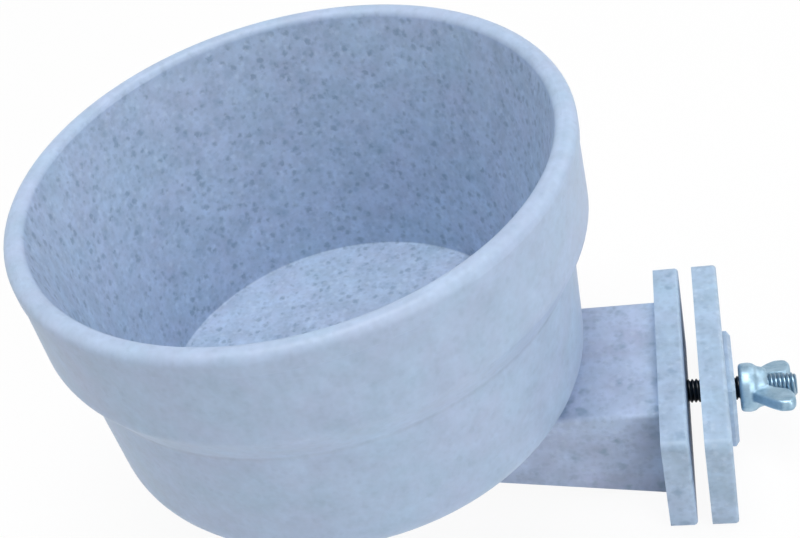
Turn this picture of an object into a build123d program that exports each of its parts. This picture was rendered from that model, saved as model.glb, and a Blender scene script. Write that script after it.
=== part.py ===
from build123d import *
import os
from math import cos, radians, sin

# Seed cup with a clamp-on bracket. Millimetres, +Z up.
# Origin: middle of the fixed jaw's clamp face, on the bolt axis.
# +X points along the bolt from the fixed jaw to the wing nut, so the cup stands on the -X side.

# Cup, outside
rim_radius = 68.0
cup_height = 72.4
lip_height = 5.0
lip_overhang = 0.4
band_depth = 25.1
shoulder_depth = 34.6
shoulder_step = 5.0
body_taper = 1.4
lip_outer_round = 2.4
band_round = 5.0
shoulder_round = 5.0
base_corner_round = 9.3

# Cup, inside
rim_width = 4.9
lip_inner_round = 2.0
inside_taper = 13.7
floor_fillet = 0.5
base_thickness = 4.8

# Cup, underside
foot_ring_width = 4.0
foot_recess_depth = 2.0
socket_wall = 4.0

# Quarter-turn lock between cup and bracket
hub_radius = 12.7
lug_reach = 6.0
lug_thickness = 1.4
ledge_thickness = 1.5
lug_span_degrees = 50.0
twist_degrees = 90.0
stop_play_degrees = 1.0
lock_side_gap = 0.3
lock_height_gap = 0.15
seat_gap = 0.2

# Bracket arm
arm_width = 40.8
arm_axis_depth = 15.0
arm_wall = 3.0
arm_top_wall = 3.2
arm_end_radius = 26.0
arm_neck_round = 12.0
arm_edge_round = 1.0
rib_thickness = 2.4
rib_pitch = 27.0

# Jaws
jaw_standoff = 17.0
jaw_width = 64.4
jaw_height = 29.4
fixed_jaw_thickness = 6.5
loose_jaw_thickness = 6.3
jaw_gap = 3.4
jaw_top_step = 1.5
jaw_corner_round = 2.0
jaw_edge_round = 1.0
pad_width = 21.5
pad_height = 19.5
pad_thickness = 1.9
pad_chamfer = 0.9

# Bolt and its pocket
bolt_radius = 3.0
bolt_length = 35.0
bolt_tip_chamfer = 0.8
head_across_flats = 10.0
head_thickness = 4.0
head_chamfer = 0.5
pocket_floor = 2.0
pocket_depth = 3.0
pocket_wall = 2.9
pocket_gap = 0.15
fixed_hole_gap = 0.2
loose_hole_gap = 0.3

# Wing nut
nut_standoff = 1.1
nut_length = 13.4
nut_collar_radius = 6.2
nut_collar_length = 4.0
nut_waist_radius = 5.1
nut_hub_length = 6.8
nut_top_radius = 4.6
nut_edge_round = 0.7
thread_gap = 0.05
wing_radius = 12.8
wing_thickness = 2.8
wing_edge_round = 0.8
wing_rest_degrees = 20.0

# Wing outline: shares of nut_length along the bolt, shares of wing_radius out from it,
# and the rounding of each corner as a share of wing_radius.
wing_outline_shares = (
    (0.12, 0.00, 0.00),
    (0.16, 0.38, 0.08),
    (0.74, 1.00, 0.16),
    (0.95, 0.97, 0.14),
    (1.00, 0.70, 0.20),
    (0.91, 0.42, 0.12),
    (0.46, 0.33, 0.06),
    (0.46, 0.00, 0.00),
)

# One overrun for every cut that runs through a face
overrun = 1.0

# Places worked out from the sizes above
cup_x = -(rim_radius + jaw_standoff)
arm_top = jaw_height / 2 - jaw_top_step
arm_bottom = -jaw_height / 2
base_z = arm_top + seat_gap
rim_z = base_z + cup_height
floor_z = base_z + base_thickness
fixed_jaw_back = -fixed_jaw_thickness
loose_jaw_face = jaw_gap
loose_jaw_back = loose_jaw_face + loose_jaw_thickness
pad_face = loose_jaw_back + pad_thickness
nut_face = pad_face + nut_standoff

band_radius = rim_radius - lip_overhang
body_top_radius = band_radius - shoulder_step
base_radius = body_top_radius - body_taper
mouth_radius = rim_radius - rim_width
floor_corner_radius = mouth_radius - inside_taper
foot_ring_radius = base_radius - base_corner_round - foot_ring_width

lug_radius = hub_radius + lug_reach
neck_hole_radius = hub_radius + lock_side_gap
socket_radius = lug_radius + lock_side_gap
socket_boss_radius = socket_radius + socket_wall
ledge_top = base_z + ledge_thickness
lug_bottom = ledge_top + lock_height_gap
lug_top = lug_bottom + lug_thickness
socket_top = lug_top + lock_height_gap
lug_start = 90.0 - lug_span_degrees / 2
entry_start = -lug_span_degrees / 2 - stop_play_degrees
entry_span = lug_span_degrees + 2 * stop_play_degrees
socket_span = entry_span + twist_degrees

cup_axis = Axis((cup_x, 0, 0), (0, 0, 1))


def level(height):
    """Horizontal plane on the cup's axis."""
    return Plane((cup_x, 0, height))


def sector(radius, start, span):
    """Pie slice about the origin, with its mirror image half a turn away."""
    with BuildSketch() as pie:
        with BuildLine():
            rim = CenterArc((0, 0), radius, start, span)
            Line((0, 0), rim @ 0)
            Line(rim @ 1, (0, 0))
        make_face()
    return pie.sketch + pie.sketch.rotate(Axis.Z, 180)


# Cup: one outline turned about its axis
cup_outline = (
    ((0, floor_z), 0),
    ((floor_corner_radius, floor_z), floor_fillet),
    ((mouth_radius, rim_z), lip_inner_round),
    ((rim_radius, rim_z), lip_outer_round),
    ((rim_radius, rim_z - lip_height), 0),
    ((band_radius, rim_z - lip_height - lip_overhang), 0),
    ((band_radius, rim_z - band_depth), band_round),
    ((body_top_radius, rim_z - shoulder_depth), shoulder_round),
    ((base_radius, base_z), base_corner_round),
    ((0, base_z), 0),
)
with BuildPart() as cup:
    with BuildSketch(Plane(origin=(cup_x, 0, 0), x_dir=(1, 0, 0), z_dir=(0, -1, 0))):
        with BuildLine():
            FilletPolyline(
                [point for point, corner in cup_outline],
                radius=[corner for point, corner in cup_outline],
                close=True,
            )
        make_face()
    revolve(axis=cup_axis)
    # Recess between the foot ring and the boss that holds the socket
    with BuildSketch(level(base_z)):
        Circle(foot_ring_radius)
        Circle(socket_boss_radius, mode=Mode.SUBTRACT)
    extrude(amount=foot_recess_depth, mode=Mode.SUBTRACT)
    # Room for the lugs to turn in, above the ledges
    with BuildSketch(level(ledge_top)):
        add(sector(socket_radius, entry_start, socket_span))
        Circle(neck_hole_radius)
    extrude(amount=socket_top - ledge_top, mode=Mode.SUBTRACT)
    # Way in for the hub and its lugs, through the ledges
    with BuildSketch(level(base_z)):
        add(sector(socket_radius, entry_start, entry_span))
        Circle(neck_hole_radius)
    extrude(amount=ledge_thickness, mode=Mode.SUBTRACT)
cup.part.label = "cup"

# Bracket: arm, seat, hub, fixed jaw and bolt pocket in one moulding
arm_length = -cup_x + fixed_jaw_back
arm_slope = (arm_top - arm_bottom - arm_axis_depth) / arm_length
arm_tip_x = cup_x - arm_end_radius - overrun
arm_tip_bottom = arm_top - arm_axis_depth + arm_slope * (arm_end_radius + overrun)
pocket_back = fixed_jaw_back - pocket_floor - pocket_depth
pocket_size = head_across_flats + 2 * pocket_gap + 2 * pocket_wall


def arm_plan(inset):
    """Arm and round end seen from above, drawn inwards by an inset."""
    half_width = arm_width / 2 - inset
    with BuildSketch() as plan:
        with Locations((arm_length / 2, 0)):
            Rectangle(arm_length, 2 * half_width)
        Circle(arm_end_radius - inset)
        inner = plan.vertices().filter_by(lambda v: 0 < v.X < arm_length / 2)
        fillet(inner, arm_neck_round + inset)
    return plan.sketch


with BuildPart() as bracket:
    with BuildSketch(level(arm_top)):
        add(arm_plan(0))
    extrude(amount=arm_bottom - arm_top)
    top_edges = bracket.faces().sort_by(Axis.Z)[-1].edges()
    fillet(top_edges.filter_by(lambda e: e.center().X < fixed_jaw_back - overrun), arm_edge_round)
    # Hollow from below
    with BuildSketch(level(arm_top - arm_top_wall)):
        add(arm_plan(arm_wall))
    extrude(amount=arm_bottom - arm_top + arm_top_wall, mode=Mode.SUBTRACT)
    # Cross ribs, one pitch apart from the cup's axis towards the jaw
    for step in (0, 1):
        with Locations((cup_x + arm_end_radius / 2 + step * rib_pitch, 0, arm_top)):
            Box(
                rib_thickness,
                arm_width - arm_wall,
                arm_top - arm_bottom,
                align=(Align.CENTER, Align.CENTER, Align.MAX),
            )
    # Sloping underside
    with BuildSketch(Plane.XZ):
        with BuildLine():
            Polyline(
                (fixed_jaw_back, arm_bottom),
                (arm_tip_x, arm_tip_bottom),
                (arm_tip_x, arm_bottom - overrun),
                (fixed_jaw_back, arm_bottom - overrun),
                close=True,
            )
        make_face()
    extrude(amount=arm_end_radius + overrun, both=True, mode=Mode.SUBTRACT)
    # Fixed jaw
    with BuildSketch(Plane.YZ):
        Rectangle(jaw_width, jaw_height)
    extrude(amount=-fixed_jaw_thickness)
    long_edges = bracket.edges().filter_by(Axis.X)
    fillet(long_edges.filter_by(lambda e: abs(e.center().Y) > arm_width / 2 + arm_wall), jaw_corner_round)
    fillet(bracket.faces().sort_by(Axis.X)[-1].edges(), jaw_edge_round)
    # Boss and hexagon pocket for the bolt's head
    with BuildSketch(Plane.YZ.offset(fixed_jaw_back)):
        Rectangle(pocket_size, pocket_size)
    extrude(amount=-pocket_floor - pocket_depth)
    with BuildSketch(Plane.YZ.offset(pocket_back)):
        RegularPolygon(head_across_flats / 2 + pocket_gap, 6, major_radius=False)
    extrude(amount=pocket_depth, mode=Mode.SUBTRACT)
    with BuildSketch(Plane.YZ):
        Circle(bolt_radius + fixed_hole_gap)
    extrude(amount=-fixed_jaw_thickness - pocket_floor - pocket_depth, mode=Mode.SUBTRACT)
    # Hub and its two lugs
    with BuildSketch(level(arm_top)):
        Circle(hub_radius)
    extrude(amount=lug_top - arm_top)
    with BuildSketch(level(lug_bottom)):
        add(sector(lug_radius, lug_start, lug_span_degrees))
    extrude(amount=lug_thickness)
bracket.part.label = "bracket"

# Clamp bolt: hexagon head in the pocket, shank through both jaws
head_face = fixed_jaw_back - pocket_floor
with BuildPart() as clamp_bolt:
    with BuildSketch(Plane.YZ.offset(head_face)):
        RegularPolygon(head_across_flats / 2, 6, major_radius=False)
    extrude(amount=-head_thickness)
    chamfer(clamp_bolt.faces().sort_by(Axis.X)[0].edges(), head_chamfer)
    with BuildSketch(Plane.YZ.offset(head_face)):
        Circle(bolt_radius)
    extrude(amount=bolt_length)
    chamfer(clamp_bolt.faces().sort_by(Axis.X)[-1].edges(), bolt_tip_chamfer)
clamp_bolt.part.label = "clamp_bolt"

# Loose jaw: plate, raised pad and clearance hole
with BuildPart() as loose_jaw:
    with BuildSketch(Plane.YZ.offset(loose_jaw_face)):
        Rectangle(jaw_width, jaw_height)
    extrude(amount=loose_jaw_thickness)
    fillet(loose_jaw.edges().filter_by(Axis.X), jaw_corner_round)
    fillet(loose_jaw.faces().sort_by(Axis.X)[-1].edges(), jaw_edge_round)
    with BuildSketch(Plane.YZ.offset(loose_jaw_back)):
        Rectangle(pad_width, pad_height)
    extrude(amount=pad_thickness)
    chamfer(loose_jaw.faces().sort_by(Axis.X)[-1].edges(), pad_chamfer)
    with BuildSketch(Plane.YZ.offset(loose_jaw_face)):
        Circle(bolt_radius + loose_hole_gap)
    extrude(amount=loose_jaw_thickness + pad_thickness, mode=Mode.SUBTRACT)
loose_jaw.part.label = "loose_jaw"

# Wing nut: turned hub with two wings, at rest with the near wing raised a little
wing_turn = radians(wing_rest_degrees)
wing_plane = Plane(
    origin=(nut_face, 0, 0),
    x_dir=(1, 0, 0),
    z_dir=(0, -sin(wing_turn), -cos(wing_turn)),
)
nut_outline = (
    ((0, 0), 0),
    ((0, nut_collar_radius), nut_edge_round),
    ((nut_collar_length, nut_collar_radius), nut_edge_round),
    ((nut_hub_length / 2 + nut_collar_length / 2, nut_waist_radius), nut_edge_round),
    ((nut_hub_length, nut_top_radius), nut_edge_round),
    ((nut_hub_length, 0), 0),
)
with BuildPart() as wings:
    with BuildSketch(wing_plane):
        with BuildLine():
            FilletPolyline(
                [(nut_length * along, wing_radius * out) for along, out, corner in wing_outline_shares],
                radius=[wing_radius * corner for along, out, corner in wing_outline_shares],
                close=True,
            )
        make_face()
        mirror(about=Plane.XZ)
    extrude(amount=wing_thickness / 2, both=True)
    broad_faces = wings.faces().filter_by(Axis((0, 0, 0), wing_plane.z_dir))
    fillet(broad_faces.edges(), wing_edge_round)
with BuildPart() as wing_nut:
    with BuildSketch(wing_plane):
        with BuildLine():
            FilletPolyline(
                [point for point, corner in nut_outline],
                radius=[corner for point, corner in nut_outline],
                close=True,
            )
        make_face()
    revolve(axis=Axis.X)
    add(wings.part)
    with BuildSketch(Plane.YZ.offset(nut_face)):
        Circle(bolt_radius + thread_gap)
    extrude(amount=nut_length, mode=Mode.SUBTRACT)
wing_nut.part.label = "wing_nut"

os.makedirs("parts", exist_ok=True)
for piece in (cup, bracket, clamp_bolt, loose_jaw, wing_nut):
    export_step(piece.part, f"parts/{piece.part.label}.step")
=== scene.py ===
import math

import bmesh
import bpy
from mathutils import Matrix, Vector


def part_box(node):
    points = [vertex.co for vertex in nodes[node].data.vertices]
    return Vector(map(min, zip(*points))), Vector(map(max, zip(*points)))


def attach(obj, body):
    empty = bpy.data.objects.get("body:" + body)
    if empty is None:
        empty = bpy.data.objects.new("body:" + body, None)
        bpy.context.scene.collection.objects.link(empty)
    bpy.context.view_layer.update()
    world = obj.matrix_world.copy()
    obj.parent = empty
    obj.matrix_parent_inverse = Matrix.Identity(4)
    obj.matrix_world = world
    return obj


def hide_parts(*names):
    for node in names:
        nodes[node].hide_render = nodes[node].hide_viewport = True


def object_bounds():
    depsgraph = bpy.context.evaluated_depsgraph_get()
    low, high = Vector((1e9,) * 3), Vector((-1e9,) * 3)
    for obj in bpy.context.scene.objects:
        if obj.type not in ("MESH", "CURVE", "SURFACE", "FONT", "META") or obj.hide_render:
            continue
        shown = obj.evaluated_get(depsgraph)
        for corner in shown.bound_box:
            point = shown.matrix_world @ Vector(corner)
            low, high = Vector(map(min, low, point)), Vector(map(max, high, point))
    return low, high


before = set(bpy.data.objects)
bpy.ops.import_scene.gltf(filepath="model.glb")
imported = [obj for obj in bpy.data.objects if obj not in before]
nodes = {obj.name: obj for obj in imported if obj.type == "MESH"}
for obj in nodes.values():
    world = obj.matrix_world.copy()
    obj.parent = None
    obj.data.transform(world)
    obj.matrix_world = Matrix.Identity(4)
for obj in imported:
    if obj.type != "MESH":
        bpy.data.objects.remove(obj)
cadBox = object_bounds()

# all lengths are metres, all colours are linear
mm = 0.001
sideways = (0, math.radians(90), 0)  # turns a new primitive's axis onto the bolt's, along X
upright = (math.radians(90), 0, 0)  # stands a new plane up along the bolt, facing Y
roundSides = 64  # sides of a turned shape
mergeDistance = 0.001 * mm
sliver = 0.01 * mm  # a face this near to an end is the end's face
noiseMiddle = 0.5  # noise wanders about this value
pureWhite = (1, 1, 1, 1)


def newMaterial(name):
    material = bpy.data.materials.new(name)
    material.use_nodes = True
    material.node_tree.nodes.clear()
    return material


# a node at its place in the editor, with its sockets fed by plain values or by other nodes' outputs
def addNode(tree, kind, x, y, feeds=None, **settings):
    node = tree.nodes.new(kind)
    node.location = (x, y)
    for setting, value in settings.items():
        setattr(node, setting, value)
    for socket, value in (feeds or {}).items():
        if isinstance(value, bpy.types.NodeSocket):
            tree.links.new(value, node.inputs[socket])
        else:
            node.inputs[socket].default_value = value
    return node


def addMath(tree, operation, x, y, *values):
    return addNode(tree, "ShaderNodeMath", x, y, dict(enumerate(values)), operation=operation).outputs[0]


# maps one range of a value onto another, straight or with a soft start and end
def addRange(tree, value, source, target, x, y, soft=False):
    feeds = {"Value": value}
    feeds["From Min"], feeds["From Max"] = source
    feeds["To Min"], feeds["To Max"] = target
    shape = "SMOOTHSTEP" if soft else "LINEAR"
    return addNode(tree, "ShaderNodeMapRange", x, y, feeds, interpolation_type=shape).outputs[0]


# mixes two tints, each a plain colour or another node's output
def addTintMix(tree, share, first, second, x, y):
    feeds = {"Factor": share}
    for socket, tint in (("A", first), ("B", second)):
        feeds[socket] = (*tint, 1) if isinstance(tint, tuple) else tint
    return addNode(tree, "ShaderNodeMix", x, y, feeds, data_type="RGBA").outputs["Result"]


# how far along one axis of the frame a place is
def addPlaceAlong(tree, place, axis, x, y):
    return addNode(tree, "ShaderNodeSeparateXYZ", x, y, {0: place}).outputs[axis]


# turns the first shader into the second by a share
def addShaderMix(tree, share, first, second, x, y):
    feeds = {"Fac": share, 1: first.outputs[0], 2: second.outputs[0]}
    return addNode(tree, "ShaderNodeMixShader", x, y, feeds).outputs[0]


# an effect that several materials share: takes a place and some numbers, gives one number
def newEffect(name, numbers, result):
    group = bpy.data.node_groups.new(name, "ShaderNodeTree")
    group.interface.new_socket(name="Vector", in_out="INPUT", socket_type="NodeSocketVector")
    for number, start in numbers.items():
        socket = group.interface.new_socket(name=number, in_out="INPUT", socket_type="NodeSocketFloat")
        socket.default_value = start
    group.interface.new_socket(name=result, in_out="OUTPUT", socket_type="NodeSocketFloat")
    return group, addNode(group, "NodeGroupInput", -1200, 0).outputs


# an effect's node on the piece's place, with its other sockets set from one dictionary
def addEffect(tree, group, place, values, x, y):
    node = addNode(tree, "ShaderNodeGroup", x, y, {"Vector": place}, node_tree=group)
    for socket in node.inputs:
        if socket.name != "Vector":
            socket.default_value = values[socket.name.lower()]
    return node.outputs[0]


# a grain's uneven outline: noise that pushes it about
wobble = {
    "scale": 2.3,  # noise cells in a grain's cell
    "detail": 1.0,
    "reach": 0.6,  # in cells
}


# one layer of specks: a soft round grain wherever the surface cuts through a random cell's middle
def makeSpeckGroup():
    numbers = {"Cells": 500.0, "Share": 0.3, "Size": 0.35, "Softness": 0.15}
    group, given = newEffect("speckLayer", numbers, "Mask")
    noise = addNode(group, "ShaderNodeTexNoise", -800, -260, {
        "Vector": given["Vector"],
        "Scale": addMath(group, "MULTIPLY", -980, -260, given["Cells"], wobble["scale"]),
        "Detail": wobble["detail"],
    })
    push = addNode(
        group, "ShaderNodeVectorMath", -600, -260, {0: noise.outputs["Color"], 1: (noiseMiddle,) * 3},
        operation="SUBTRACT",
    )
    pushBy = addMath(group, "DIVIDE", -780, -480, wobble["reach"], given["Cells"])
    shift = addNode(
        group, "ShaderNodeVectorMath", -440, -260, {0: push.outputs[0], "Scale": pushBy}, operation="SCALE",
    )
    moved = addNode(
        group, "ShaderNodeVectorMath", -280, 0, {0: given["Vector"], 1: shift.outputs[0]}, operation="ADD",
    )
    cells = addNode(
        group, "ShaderNodeTexVoronoi", -120, 0, {"Vector": moved.outputs[0], "Scale": given["Cells"]},
        voronoi_dimensions="3D", feature="F1",
    )
    luck = addNode(group, "ShaderNodeSeparateColor", 60, 120, {0: cells.outputs["Color"]}).outputs
    chosen = addMath(group, "LESS_THAN", 220, 220, luck[0], given["Share"])
    reach = addMath(group, "MULTIPLY", 220, 60, luck[1], given["Size"])
    edge = addMath(group, "ADD", 220, -100, reach, given["Softness"])
    grain = addRange(group, cells.outputs["Distance"], (reach, edge), (1, 0), 380, -40, soft=True)
    shown = addMath(group, "MULTIPLY", 540, 60, grain, chosen)
    addNode(group, "NodeGroupOutput", 700, 0, {"Mask": shown})
    return group


# cloudy variation of a surface, centred on nought
def makeMottleGroup():
    numbers = {"Scale": 200.0, "Detail": 2.0, "Roughness": 0.6, "Amount": 0.2}
    group, given = newEffect("mottle", numbers, "Shift")
    feeds = {socket: given[socket] for socket in ("Vector", "Scale", "Detail", "Roughness")}
    clouds = addNode(group, "ShaderNodeTexNoise", -450, 0, feeds)
    centred = addMath(group, "SUBTRACT", -200, 0, clouds.outputs[0], noiseMiddle)
    scaled = addMath(group, "MULTIPLY", 0, 0, centred, given["Amount"])
    addNode(group, "NodeGroupOutput", 200, 0, {"Shift": scaled})
    return group


# height of the very fine grain that every surface has
def makeGrainGroup():
    group, given = newEffect("surfaceGrain", {"Scale": 1400.0, "Detail": 2.0}, "Height")
    feeds = {socket: given[socket] for socket in ("Vector", "Scale", "Detail")}
    fine = addNode(group, "ShaderNodeTexNoise", -450, 0, feeds)
    addNode(group, "NodeGroupOutput", 200, 0, {"Height": fine.outputs[0]})
    return group


speckGroup = makeSpeckGroup()
mottleGroup = makeMottleGroup()
grainGroup = makeGrainGroup()
print("shared effects ready")


def addGrainBump(tree, place, grain, x, y):
    height = addEffect(tree, grainGroup, place, grain, x - 200, y)
    feeds = {"Strength": grain["strength"], "Distance": grain["depth"], "Height": height}
    return addNode(tree, "ShaderNodeBump", x, y, feeds).outputs[0]


# what the cup, the arm and the loose jaw have in common
plastic = {
    "specular": 0.42,
    "roughness": (0.43, 0.51),  # where the soft clouds are darkest and palest
    "roughnessReach": 0.05,  # how dark and pale those clouds are
    "greenDrift": 0.35,
    "surfaceGrain": {"scale": 1400.0, "detail": 2.0, "strength": 0.25, "depth": 0.08 * mm},
}

# grains in the plastic: sizes are shares of a cell, whose width is one metre over cells
greySpeckTint = (0.230, 0.335, 0.480)
grains = {
    "dark": {"cells": 440.0, "share": 0.55, "size": 0.20, "softness": 0.40, "tint": (0.085, 0.150, 0.250)},
    "grey": {"cells": 660.0, "share": 0.75, "size": 0.25, "softness": 0.48, "tint": greySpeckTint},
    "white": {"cells": 560.0, "share": 0.40, "size": 0.20, "softness": 0.42, "tint": (0.640, 0.750, 0.880)},
    "blotch": {"cells": 230.0, "share": 0.55, "size": 0.16, "softness": 0.36, "tint": greySpeckTint},
}

cupLook = {
    "tint": (0.428, 0.535, 0.700),
    "outsideTint": (0.422, 0.534, 0.716),
    "strengths": {"dark": 0.38, "grey": 0.30, "white": 0.26, "blotch": 0.32},
    "fineMottle": {"scale": 230.0, "detail": 3.0, "roughness": 0.72, "amount": 0.52},
    "softMottle": {"scale": 120.0, "detail": 3.0, "roughness": 0.78, "amount": 0.40},
    "tintMottle": {"scale": 75.0, "detail": 3.0, "roughness": 0.60, "amount": 0.16},
    "outsideShare": 0.20,  # how much of the speckle still shows on the satin outside
    "creaseDepth": 34.6 * mm,  # shoulder crease below the rim
    "creaseWidth": 1.3 * mm,
    # painted shade: how much darker the colour is along that crease
    "paintedCreaseShade": 0.10,
    "wallRadiusAtFloor": 50.4 * mm,
    "wallRadiusAtRim": 64.2 * mm,
    "floorDepth": 67.6 * mm,
    "wallFade": 1.5 * mm,
    "rimFade": 3.0 * mm,
}

armLook = {
    "tint": (0.462, 0.556, 0.745),
    "jawTint": (0.412, 0.542, 0.706),  # the jaw plate at the arm's end is a little greener
    "jawReach": (-12.0 * mm, -5.0 * mm),  # from the arm's tint to the jaw's, along the bolt
    "strengths": {"dark": 0.14, "grey": 0.20, "white": 0.20, "blotch": 0.62},
    "fineMottle": {"scale": 165.0, "detail": 2.5, "roughness": 0.64, "amount": 0.56},
    "softMottle": {"scale": 90.0, "detail": 2.0, "roughness": 0.60, "amount": 0.22},
    "tintMottle": {"scale": 70.0, "detail": 2.0, "roughness": 0.60, "amount": 0.14},
}

jawLook = {
    "tint": (0.402, 0.532, 0.690),
    "strengths": {"dark": 0.12, "grey": 0.22, "white": 0.26, "blotch": 0.26},
    "fineMottle": {"scale": 200.0, "detail": 2.5, "roughness": 0.70, "amount": 0.58},
    "softMottle": {"scale": 90.0, "detail": 2.0, "roughness": 0.60, "amount": 0.20},
    "tintMottle": {"scale": 70.0, "detail": 2.0, "roughness": 0.60, "amount": 0.14},
}


# masks of the cup alone: the bowl's inside, all but the inside, and the crease under the outer shoulder,
# where a line of shade is painted
def addCupMasks(tree, place):
    low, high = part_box("cup")
    rimZ = high[2]
    floorZ = rimZ - cupLook["floorDepth"]
    fade = cupLook["wallFade"]
    centred = addNode(tree, "ShaderNodeMapping", -2600, -500, {
        "Vector": place,
        "Location": (-(low[0] + high[0]) / 2, -(low[1] + high[1]) / 2, 0),
        "Scale": (1, 1, 0),
    })
    fromAxis = addNode(tree, "ShaderNodeVectorMath", -2400, -500, {0: centred.outputs[0]}, operation="LENGTH")
    height = addPlaceAlong(tree, place, "Z", -2600, -800)
    wallRadii = (cupLook["wallRadiusAtFloor"], cupLook["wallRadiusAtRim"])
    wallRadius = addRange(tree, height, (floorZ, rimZ), wallRadii, -2400, -800)
    beyondWall = addMath(tree, "SUBTRACT", -2200, -600, fromAxis.outputs["Value"], wallRadius)
    withinWall = addRange(tree, beyondWall, (0, fade), (1, 0), -2000, -600, soft=True)
    aboveFloor = addMath(tree, "GREATER_THAN", -2200, -1000, height, floorZ - fade)
    belowRim = addRange(tree, height, (rimZ - cupLook["rimFade"], rimZ), (1, 0), -2200, -1400, soft=True)
    bowl = addMath(tree, "MULTIPLY", -1950, -700, withinWall, aboveFloor)
    inside = addMath(tree, "MULTIPLY", -1800, -700, bowl, belowRim)
    outside = addMath(tree, "SUBTRACT", -1800, -950, 1, inside)
    aboveCrease = addMath(tree, "SUBTRACT", -2200, -1200, height, rimZ - cupLook["creaseDepth"])
    fromCrease = addMath(tree, "ABSOLUTE", -2050, -1200, aboveCrease)
    line = addRange(tree, fromCrease, (0, cupLook["creaseWidth"]), (1, 0), -1900, -1200, soft=True)
    crease = addMath(tree, "MULTIPLY", -1650, -1100, line, outside)
    return inside, outside, crease


# speckled moulded plastic: pale blue-grey, cloudy, with soft dark, grey and white grains
def makePlastic(name, look):
    material = newMaterial(name)
    tree = material.node_tree
    place = addNode(tree, "ShaderNodeTexCoord", -2900, 0).outputs["Object"]
    fine = addEffect(tree, mottleGroup, place, look["fineMottle"], -1400, 700)
    soft = addEffect(tree, mottleGroup, place, look["softMottle"], -1400, 450)
    drift = addEffect(tree, mottleGroup, place, look["tintMottle"], -1400, 200)
    tint = look["tint"]
    showing = 1.0  # how much of the speckle shows
    if "outsideTint" in look:
        inside, outside, crease = addCupMasks(tree, place)
        tint = addTintMix(tree, outside, tint, look["outsideTint"], -1100, 0)
        showing = addRange(tree, inside, (0, 1), (look["outsideShare"], 1), -1400, -500)
        fine = addMath(tree, "MULTIPLY", -1200, 700, fine, showing)
        # painted shade: the colour is darkened along the crease under the shoulder, and its roughness lowered
        # a little there
        shade = addMath(tree, "MULTIPLY", -1400, -900, crease, -look["paintedCreaseShade"])
        soft = addMath(tree, "ADD", -1200, 450, soft, shade)
    elif "jawTint" in look:
        alongBolt = addPlaceAlong(tree, place, "X", -1600, -200)
        towardsJaw = addRange(tree, alongBolt, look["jawReach"], (0, 1), -1400, -200, soft=True)
        tint = addTintMix(tree, towardsJaw, tint, look["jawTint"], -1100, 0)
    # the drift takes a little red out where it puts green in, so the clouds run from lilac to teal
    clouds = addMath(tree, "ADD", -850, 600, addMath(tree, "ADD", -1000, 600, fine, soft), 1)
    channels = addNode(tree, "ShaderNodeCombineXYZ", -600, 400, {
        "X": addMath(tree, "SUBTRACT", -750, 700, clouds, drift),
        "Y": addMath(tree, "MULTIPLY_ADD", -750, 500, drift, plastic["greenDrift"], clouds),
        "Z": clouds,
    })
    clouded = addNode(
        tree, "ShaderNodeVectorMath", -400, 300, {0: tint, 1: channels.outputs[0]}, operation="MULTIPLY",
    )
    colour = clouded.outputs[0]
    x = -200
    for grainName, strength in look["strengths"].items():
        grain = grains[grainName]
        mask = addEffect(tree, speckGroup, place, grain, x, -100)
        amount = addMath(tree, "MULTIPLY", x, 80, mask, strength)
        amount = addMath(tree, "MULTIPLY", x + 90, -20, amount, showing)
        colour = addTintMix(tree, amount, colour, grain["tint"], x + 180, 250)
        x += 240
    reach = plastic["roughnessReach"]
    shader = addNode(tree, "ShaderNodeBsdfPrincipled", x + 300, 100, {
        "Base Color": colour,
        "Roughness": addRange(tree, soft, (-reach, reach), plastic["roughness"], x + 50, -80),
        "Normal": addGrainBump(tree, place, plastic["surfaceGrain"], x + 50, -300),
        "Specular IOR Level": plastic["specular"],
    })
    addNode(tree, "ShaderNodeOutputMaterial", x + 600, 100, {"Surface": shader.outputs[0]})
    return material


def dress(nodeName, material):
    for slot in nodes[nodeName].material_slots:
        slot.material = material


dress("cup", makePlastic("cupPlastic", cupLook))
dress("bracket", makePlastic("armPlastic", armLook))
dress("loose_jaw", makePlastic("jawPlastic", jawLook))
print("cup, arm and loose jaw dressed")


zinc = {
    "tint": (0.480, 0.660, 0.800),
    "dullTint": (0.240, 0.385, 0.500),
    "dullShare": 0.48,
    "patches": {"scale": 380.0, "detail": 4.0, "roughness": 0.6, "amount": 1.8},
    "patchReach": 0.3,  # how bright and dull those patches are
    "roughness": (0.42, 0.58),  # on the brightest and dullest patches
    "metallic": 1.0,
    "surfaceGrain": {"scale": 1900.0, "detail": 2.0, "strength": 0.25, "depth": 0.05 * mm},
}

blackSteel = {
    "tint": (0.004, 0.009, 0.018),
    "dullTint": (0.020, 0.040, 0.065),
    "dullShare": 0.30,
    "patches": {"scale": 420.0, "detail": 4.0, "roughness": 0.6, "amount": 1.5},
    "patchReach": 0.3,
    "roughness": (0.28, 0.44),
    "metallic": 0.0,
    "surfaceGrain": {"scale": 1900.0, "detail": 2.0, "strength": 0.25, "depth": 0.05 * mm},
    "paleEndTint": (0.300, 0.420, 0.520),  # the bolt's end, from within the nut's hub to the tip, is a pale metal, not black
    "paleEndReach": (16.5 * mm, 20.0 * mm),  # from black to that pale metal, along the bolt
}
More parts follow.
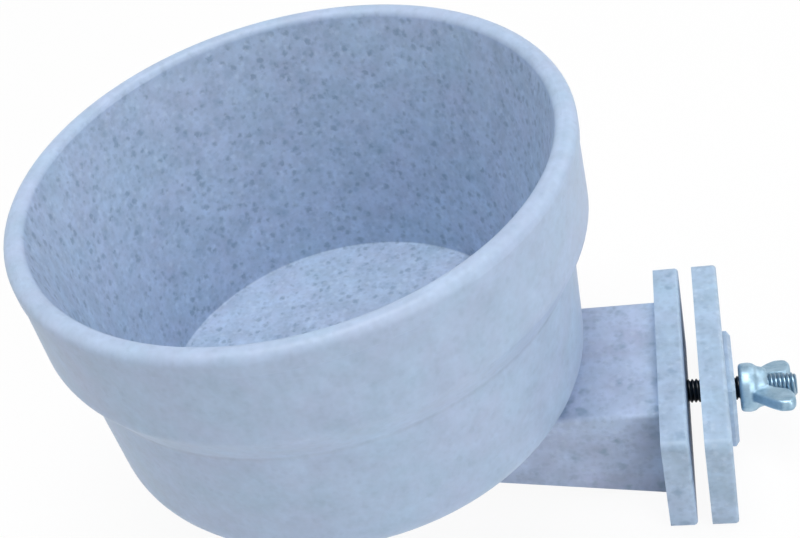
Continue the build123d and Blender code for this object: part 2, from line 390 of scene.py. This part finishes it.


# metal with bright and dull patches, and a pale metallic end on the bolt
def makeMetal(name, look):
    material = newMaterial(name)
    tree = material.node_tree
    place = addNode(tree, "ShaderNodeTexCoord", -1100, 0).outputs["Object"]
    patches = addEffect(tree, mottleGroup, place, look["patches"], -850, 100)
    dullness = addMath(tree, "ADD", -500, 200, patches, look["dullShare"])
    colour = addTintMix(tree, dullness, look["tint"], look["dullTint"], -300, 150)
    metallic = look["metallic"]
    if "paleEndTint" in look:
        alongBolt = addPlaceAlong(tree, place, "X", -850, 400)
        metallic = addRange(tree, alongBolt, look["paleEndReach"], (0, 1), -650, 400, soft=True)
        colour = addTintMix(tree, metallic, colour, look["paleEndTint"], -200, 350)
    reach = look["patchReach"]
    shader = addNode(tree, "ShaderNodeBsdfPrincipled", -50, 100, {
        "Base Color": colour,
        "Metallic": metallic,
        "Roughness": addRange(tree, patches, (-reach, reach), look["roughness"], -500, -100),
        "Normal": addGrainBump(tree, place, look["surfaceGrain"], -300, -300),
    })
    addNode(tree, "ShaderNodeOutputMaterial", 250, 100, {"Surface": shader.outputs[0]})
    return material


zincPlate = makeMetal("zincPlate", zinc)
blackOxide = makeMetal("blackOxide", blackSteel)
print("metals ready")


def deselectAll():
    if bpy.context.object and bpy.context.object.mode != "OBJECT":
        bpy.ops.object.mode_set(mode="OBJECT")
    bpy.ops.object.select_all(action="DESELECT")


def selectOnly(piece):
    deselectAll()
    piece.select_set(True)
    bpy.context.view_layer.objects.active = piece


def startEdit(piece, kind="VERT"):
    selectOnly(piece)
    bpy.ops.object.mode_set(mode="EDIT")
    bpy.ops.mesh.select_mode(type=kind)
    bpy.ops.mesh.select_all(action="DESELECT")


# in edit mode, selects the vertices whose place passes the test
def selectWhere(piece, test):
    mesh = bmesh.from_edit_mesh(piece.data)
    for vertex in mesh.verts:
        vertex.select_set(test(vertex.co))
    mesh.select_flush(True)
    bmesh.update_edit_mesh(piece.data)


# extrudes what is selected, then scales its new end about a point
def extrudeOn(move, growth, centre):
    bpy.ops.mesh.extrude_region_move(TRANSFORM_OT_translate={"value": move})
    bpy.ops.transform.resize(value=growth, center_override=centre)


# turns every face outwards and leaves edit mode
def endEditOutwards():
    bpy.ops.mesh.select_all(action="SELECT")
    bpy.ops.mesh.normals_make_consistent(inside=False)
    bpy.ops.object.mode_set(mode="OBJECT")


def applyPlace(piece):
    selectOnly(piece)
    bpy.ops.object.transform_apply(location=True, rotation=True, scale=True)


def applyModifier(piece, kind, **settings):
    selectOnly(piece)
    modifier = piece.modifiers.new(kind.lower(), kind)
    for setting, value in settings.items():
        setattr(modifier, setting, value)
    bpy.ops.object.modifier_apply(modifier=modifier.name)


def combine(piece, other, operation):
    applyModifier(piece, "BOOLEAN", operation=operation, object=other, solver="EXACT")
    bpy.data.objects.remove(other, do_unlink=True)


# a rod or prism on the bolt's axis
def addRod(sides, radius, startX, endX):
    deselectAll()
    bpy.ops.mesh.primitive_cylinder_add(
        vertices=sides, radius=radius, depth=endX - startX,
        location=((startX + endX) / 2, 0, 0), rotation=sideways,
    )
    rod = bpy.context.active_object
    applyPlace(rod)
    return rod


# bevels the edge round a rod's end face
def bevelEnd(rod, endX, width, steps=1):
    startEdit(rod, "FACE")
    selectWhere(rod, lambda place: abs(place.x - endX) < sliver)
    bpy.ops.mesh.bevel(offset=width, segments=steps)
    bpy.ops.object.mode_set(mode="OBJECT")


def finishMetal(piece, material, smoothDegrees):
    startEdit(piece)
    bpy.ops.mesh.select_all(action="SELECT")
    bpy.ops.mesh.remove_doubles(threshold=mergeDistance)
    endEditOutwards()
    bpy.ops.object.shade_smooth_by_angle(angle=math.radians(smoothDegrees))
    piece.data.materials.clear()
    piece.data.materials.append(material)


def report(piece):
    corners = [piece.matrix_world @ vertex.co for vertex in piece.data.vertices]
    lowest = [round(min(corner[axis] for corner in corners) / mm, 2) for axis in range(3)]
    highest = [round(max(corner[axis] for corner in corners) / mm, 2) for axis in range(3)]
    mesh = bmesh.new()
    mesh.from_mesh(piece.data)
    openEdges = sum(1 for edge in mesh.edges if not edge.is_manifold)
    mesh.free()
    print(piece.name, len(piece.data.polygons), "faces,", openEdges, "open edges, mm", lowest, highest)


bolt = {
    "pitch": 1.0 * mm,
    "crestRadius": 3.0 * mm,
    "rootRadius": 2.42 * mm,
    "crestShare": 0.22,  # width of the crest, in pitches
    "stepsPerTurn": 40,
    "spareTurns": 2,  # past either end, cut off again
    "headThickness": 4.0 * mm,
    "acrossFlats": 10.0 * mm,
    "headSides": 6,
    "headBevel": 0.45 * mm,
    "headBevelSteps": 2,
    "threadOverlap": 0.3 * mm,  # how far the thread runs into the head
    "tipChamfer": 0.9 * mm,
    "sleeveOverlap": 1.0 * mm,  # how far the sleeve that chamfers the tip runs into the head
    "sleeveGap": 0.2 * mm,  # between that sleeve and the thread's crests
    "smoothDegrees": 40,
}


# clamp bolt: a thread profile screwed along the axis, cut square, chamfered and joined to a hexagon head
def makeBolt():
    low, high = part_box("clamp_bolt")
    tipX = high[0]
    headFace = low[0] + bolt["headThickness"]
    threadStart = headFace - bolt["spareTurns"] * bolt["pitch"]
    turns = math.ceil((tipX - threadStart) / bolt["pitch"]) + bolt["spareTurns"]
    depth = bolt["crestRadius"] - bolt["rootRadius"]
    middle = (bolt["crestRadius"] + bolt["rootRadius"]) / 2
    # one tooth: a plane narrowed at its crest, of which only the two flanks and the crest stay
    deselectAll()
    bpy.ops.mesh.primitive_plane_add(size=bolt["pitch"], location=(threadStart, 0, middle), rotation=upright)
    piece = bpy.context.active_object
    piece.name = "threadedBolt"
    piece.scale = (1, depth / bolt["pitch"], 1)
    applyPlace(piece)
    startEdit(piece)
    selectWhere(piece, lambda place: place.z > middle)
    bpy.ops.transform.resize(value=(bolt["crestShare"], 1, 1), center_override=(threadStart, 0, middle))
    bpy.ops.mesh.select_all(action="SELECT")
    bpy.ops.mesh.delete(type="ONLY_FACE")
    bpy.ops.mesh.select_mode(type="EDGE")
    selectWhere(piece, lambda place: place.z < middle)
    bpy.ops.mesh.delete(type="EDGE")
    bpy.ops.object.mode_set(mode="OBJECT")
    applyModifier(
        piece, "SCREW", axis="X", angle=math.radians(360), screw_offset=bolt["pitch"], iterations=turns,
        steps=bolt["stepsPerTurn"], render_steps=bolt["stepsPerTurn"],
        use_merge_vertices=True, merge_threshold=mergeDistance,
    )
    # both ends cut square
    startEdit(piece)
    bpy.ops.mesh.select_all(action="SELECT")
    bpy.ops.mesh.remove_doubles(threshold=mergeDistance)
    innerEnd = (headFace - bolt["threadOverlap"], 0, 0)
    bpy.ops.mesh.bisect(plane_co=innerEnd, plane_no=(1, 0, 0), use_fill=True, clear_inner=True)
    bpy.ops.mesh.select_all(action="SELECT")
    bpy.ops.mesh.bisect(plane_co=(tipX, 0, 0), plane_no=(1, 0, 0), use_fill=True, clear_outer=True)
    endEditOutwards()
    # chamfer at the tip
    sleeveRadius = bolt["crestRadius"] + bolt["sleeveGap"]
    sleeve = addRod(roundSides, sleeveRadius, headFace - bolt["sleeveOverlap"], tipX)
    bevelEnd(sleeve, tipX, bolt["tipChamfer"])
    combine(piece, sleeve, "INTERSECT")
    # hexagon head, corners to the sides as in the pocket
    cornerRadius = bolt["acrossFlats"] / 2 / math.cos(math.pi / bolt["headSides"])
    head = addRod(bolt["headSides"], cornerRadius, low[0], headFace)
    bevelEnd(head, low[0], bolt["headBevel"], bolt["headBevelSteps"])
    combine(piece, head, "UNION")
    finishMetal(piece, blackOxide, bolt["smoothDegrees"])
    return piece


threadedBolt = makeBolt()
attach(threadedBolt, "bracket")
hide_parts("clamp_bolt")
report(threadedBolt)


nut = {
    # distance from the seat face, radius
    "hubRings": (
        (0.0 * mm, 5.5 * mm), (0.5 * mm, 6.05 * mm), (2.4 * mm, 6.2 * mm), (3.6 * mm, 5.9 * mm),
        (4.4 * mm, 5.2 * mm), (6.0 * mm, 4.8 * mm), (6.8 * mm, 4.2 * mm),
    ),
    # distance from the bolt's axis, lower and upper end along the bolt, thickness
    "wingStations": (
        (3.4 * mm, 1.0 * mm, 6.6 * mm, 5.0 * mm),
        (4.4 * mm, 1.4 * mm, 9.0 * mm, 3.8 * mm),
        (5.2 * mm, 2.2 * mm, 12.0 * mm, 3.1 * mm),
        (7.6 * mm, 4.2 * mm, 12.9 * mm, 2.9 * mm),
        (10.2 * mm, 6.6 * mm, 12.9 * mm, 3.0 * mm),
        (11.6 * mm, 8.2 * mm, 12.4 * mm, 3.0 * mm),
        (12.4 * mm, 9.6 * mm, 11.6 * mm, 2.8 * mm),
    ),
    "restDegrees": 20.0,
    "wingBevel": 1.3 * mm,
    "wingBevelSteps": 6,
    "wingBevelFromDegrees": 50,
    "boreRadius": 3.06 * mm,
    "boreOverrun": 1.0 * mm,
    "mouthDepth": 0.5 * mm,
    "voxel": 0.2 * mm,
    "smoothFactor": 0.5,
    "smoothRounds": 18,
    "smoothDegrees": 50,
}


# one wing: a block extruded from station to station, rounded, then turned about the bolt
def makeWing(seatX, turnDegrees):
    out, lower, upper, thick = nut["wingStations"][0]
    deselectAll()
    bpy.ops.mesh.primitive_plane_add(
        size=1, location=(seatX + (lower + upper) / 2, -out, 0), rotation=upright,
    )
    wing = bpy.context.active_object
    wing.scale = (upper - lower, thick, 1)
    applyPlace(wing)
    startEdit(wing, "FACE")
    bpy.ops.mesh.select_all(action="SELECT")
    for nextOut, nextLower, nextUpper, nextThick in nut["wingStations"][1:]:
        move = ((nextLower + nextUpper - lower - upper) / 2, out - nextOut, 0)
        growth = ((nextUpper - nextLower) / (upper - lower), 1, nextThick / thick)
        extrudeOn(move, growth, (seatX + (nextLower + nextUpper) / 2, -nextOut, 0))
        out, lower, upper, thick = nextOut, nextLower, nextUpper, nextThick
    endEditOutwards()
    applyModifier(
        wing, "BEVEL", width=nut["wingBevel"], segments=nut["wingBevelSteps"],
        limit_method="ANGLE", angle_limit=math.radians(nut["wingBevelFromDegrees"]),
    )
    wing.rotation_euler = (math.radians(turnDegrees), 0, 0)
    applyPlace(wing)
    return wing


# a turned shape on the bolt's axis, from rings of distance from its start and radius
def addTurned(startX, rings):
    along, radius = rings[0]
    deselectAll()
    bpy.ops.mesh.primitive_circle_add(
        vertices=roundSides, radius=radius, fill_type="NGON",
        location=(startX + along, 0, 0), rotation=sideways,
    )
    piece = bpy.context.active_object
    applyPlace(piece)
    startEdit(piece, "FACE")
    bpy.ops.mesh.select_all(action="SELECT")
    for nextAlong, nextRadius in rings[1:]:
        growth = nextRadius / radius
        extrudeOn((nextAlong - along, 0, 0), (1, growth, growth), (startX + nextAlong, 0, 0))
        along, radius = nextAlong, nextRadius
    endEditOutwards()
    return piece


# wing nut: turned hub and two cast wings, melted into one skin, then bored and countersunk
def makeNut():
    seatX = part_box("wing_nut")[0][0]
    piece = addTurned(seatX, nut["hubRings"])
    piece.name = "castWingNut"
    for turnDegrees in (-nut["restDegrees"], 180 - nut["restDegrees"]):
        combine(piece, makeWing(seatX, turnDegrees), "UNION")
    applyModifier(piece, "REMESH", mode="VOXEL", voxel_size=nut["voxel"])
    applyModifier(piece, "SMOOTH", factor=nut["smoothFactor"], iterations=nut["smoothRounds"])
    hubLength = nut["hubRings"][-1][0]
    radius, mouth, past = nut["boreRadius"], nut["mouthDepth"], nut["boreOverrun"]
    bore = addTurned(seatX, (
        (-past, radius), (0.0, radius), (0.0, radius + mouth), (mouth, radius),
        (hubLength - mouth, radius), (hubLength, radius + mouth), (hubLength, radius),
        (hubLength + past, radius),
    ))
    combine(piece, bore, "DIFFERENCE")
    finishMetal(piece, zincPlate, nut["smoothDegrees"])
    return piece


wingNut = makeNut()
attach(wingNut, "wing_nut")
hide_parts("wing_nut")
report(wingNut)


ground = {
    "tint": (0.90, 0.90, 0.90),
    "whiteShare": 0.93,  # the rest keeps the object's shadow
    "gap": 0.2 * mm,
    "size": 12.0,
}


# floor: nearly white to the camera and in reflections
def makeGround():
    material = newMaterial("paleGround")
    tree = material.node_tree
    rays = addNode(tree, "ShaderNodeLightPath", -700, 200).outputs
    seen = addMath(tree, "MAXIMUM", -500, 200, rays["Is Camera Ray"], rays["Is Glossy Ray"])
    share = addMath(tree, "MULTIPLY", -300, 200, seen, ground["whiteShare"])
    matte = addNode(tree, "ShaderNodeBsdfDiffuse", -300, 0, {"Color": (*ground["tint"], 1)})
    glow = addNode(tree, "ShaderNodeEmission", -300, -150, {"Color": pureWhite})
    surface = addShaderMix(tree, share, matte, glow, 0, 100)
    addNode(tree, "ShaderNodeOutputMaterial", 200, 100, {"Surface": surface})
    deselectAll()
    bpy.ops.mesh.primitive_plane_add(size=ground["size"], location=(0, 0, cadBox[0][2] - ground["gap"]))
    floor = bpy.context.active_object
    floor.name = "pale_floor"
    floor.data.materials.append(material)


makeGround()
print("floor ready")


lamps = {
    "topLamp": {"place": (-0.06, 0.05, 1.126), "size": 0.7, "power": 7.5},
    "backRightLamp": {"place": (0.577, 0.637, 0.661), "size": 0.7, "power": 2.2},
    "leftLamp": {"place": (-0.961, 0.0, 0.661), "size": 0.7, "power": 2.1},
    "frontRightLamp": {"place": (0.577, -0.637, 0.661), "size": 0.7, "power": 3.6},
    "lowRightLamp": {"place": (1.90, -1.40, 0.45), "size": 1.4, "power": 9.6},
    "lowLeftLamp": {"place": (-2.40, -0.60, 0.35), "size": 1.4, "power": 5.6},
}
lampAim = (-0.06, 0.0, 0.03)


def addLamp(name, place, size, power):
    lampData = bpy.data.lights.new(name, "AREA")
    lampData.shape = "DISK"
    lampData.size = size
    lampData.energy = power
    lamp = bpy.data.objects.new(name, lampData)
    bpy.context.scene.collection.objects.link(lamp)
    lamp.location = place
    lamp.rotation_euler = (Vector(lampAim) - Vector(place)).to_track_quat("-Z", "Y").to_euler()


for lampName, values in lamps.items():
    addLamp(lampName, **values)


studio = {
    "glow": 0.15,  # what lights the object from all round
    "mirroredHorizon": 0.95,  # what shiny surfaces see of the studio's walls
    "mirroredCeiling": 0.42,
    "ceilingSlope": 0.55,
    "background": 1.0,  # what the camera sees
}


def makeWorld():
    world = bpy.data.worlds.new("studio")
    bpy.context.scene.world = world
    world.use_nodes = True
    tree = world.node_tree
    tree.nodes.clear()
    rays = addNode(tree, "ShaderNodeLightPath", -700, 200).outputs
    direction = addNode(tree, "ShaderNodeTexCoord", -1100, -150).outputs["Generated"]
    slope = addPlaceAlong(tree, direction, "Z", -900, -150)
    mirroredRange = (studio["mirroredHorizon"], studio["mirroredCeiling"])
    mirrored = addRange(tree, slope, (0, studio["ceilingSlope"]), mirroredRange, -700, -150, soft=True)
    strength = addNode(tree, "ShaderNodeMix", -500, -50, {
        "Factor": rays["Is Glossy Ray"],
        "A": studio["glow"],
        "B": mirrored,
    }, data_type="FLOAT").outputs["Result"]
    around = addNode(tree, "ShaderNodeBackground", -300, 0, {"Color": pureWhite, "Strength": strength})
    behind = addNode(tree, "ShaderNodeBackground", -300, -150, {
        "Color": pureWhite,
        "Strength": studio["background"],
    })
    seen = addMath(tree, "MAXIMUM", -500, 200, rays["Is Camera Ray"], rays["Is Transmission Ray"])
    surface = addShaderMix(tree, seen, around, behind, 0, 100)
    addNode(tree, "ShaderNodeOutputWorld", 200, 100, {"Surface": surface})


makeWorld()
print("lamps and studio ready")


photoCamera = {
    "place": (0.008278, -0.259592, 0.263033),
    "right": (0.963979, 0.134808, -0.229282),
    "up": (0.088462, 0.650465, 0.754367),
    "back": (0.250835, -0.747477, 0.615109),
    "lens": 63.507,
    "sensor": 36.0,
    "shiftX": 0.0709,
    "shiftY": 0.0033,
    "nearest": 0.01,
}


def placeCamera():
    cameraData = bpy.data.cameras.new("photoCamera")
    cameraData.sensor_fit = "HORIZONTAL"
    cameraData.sensor_width = photoCamera["sensor"]
    cameraData.lens = photoCamera["lens"]
    cameraData.shift_x = photoCamera["shiftX"]
    cameraData.shift_y = photoCamera["shiftY"]
    cameraData.clip_start = photoCamera["nearest"]
    camera = bpy.data.objects.new("photoCamera", cameraData)
    bpy.context.scene.collection.objects.link(camera)
    turn = Matrix((photoCamera["right"], photoCamera["up"], photoCamera["back"])).transposed()
    camera.matrix_world = Matrix.Translation(photoCamera["place"]) @ turn.to_4x4()
    bpy.context.scene.camera = camera


placeCamera()
bpy.context.scene.view_settings.view_transform = "Standard"
print("camera ready")
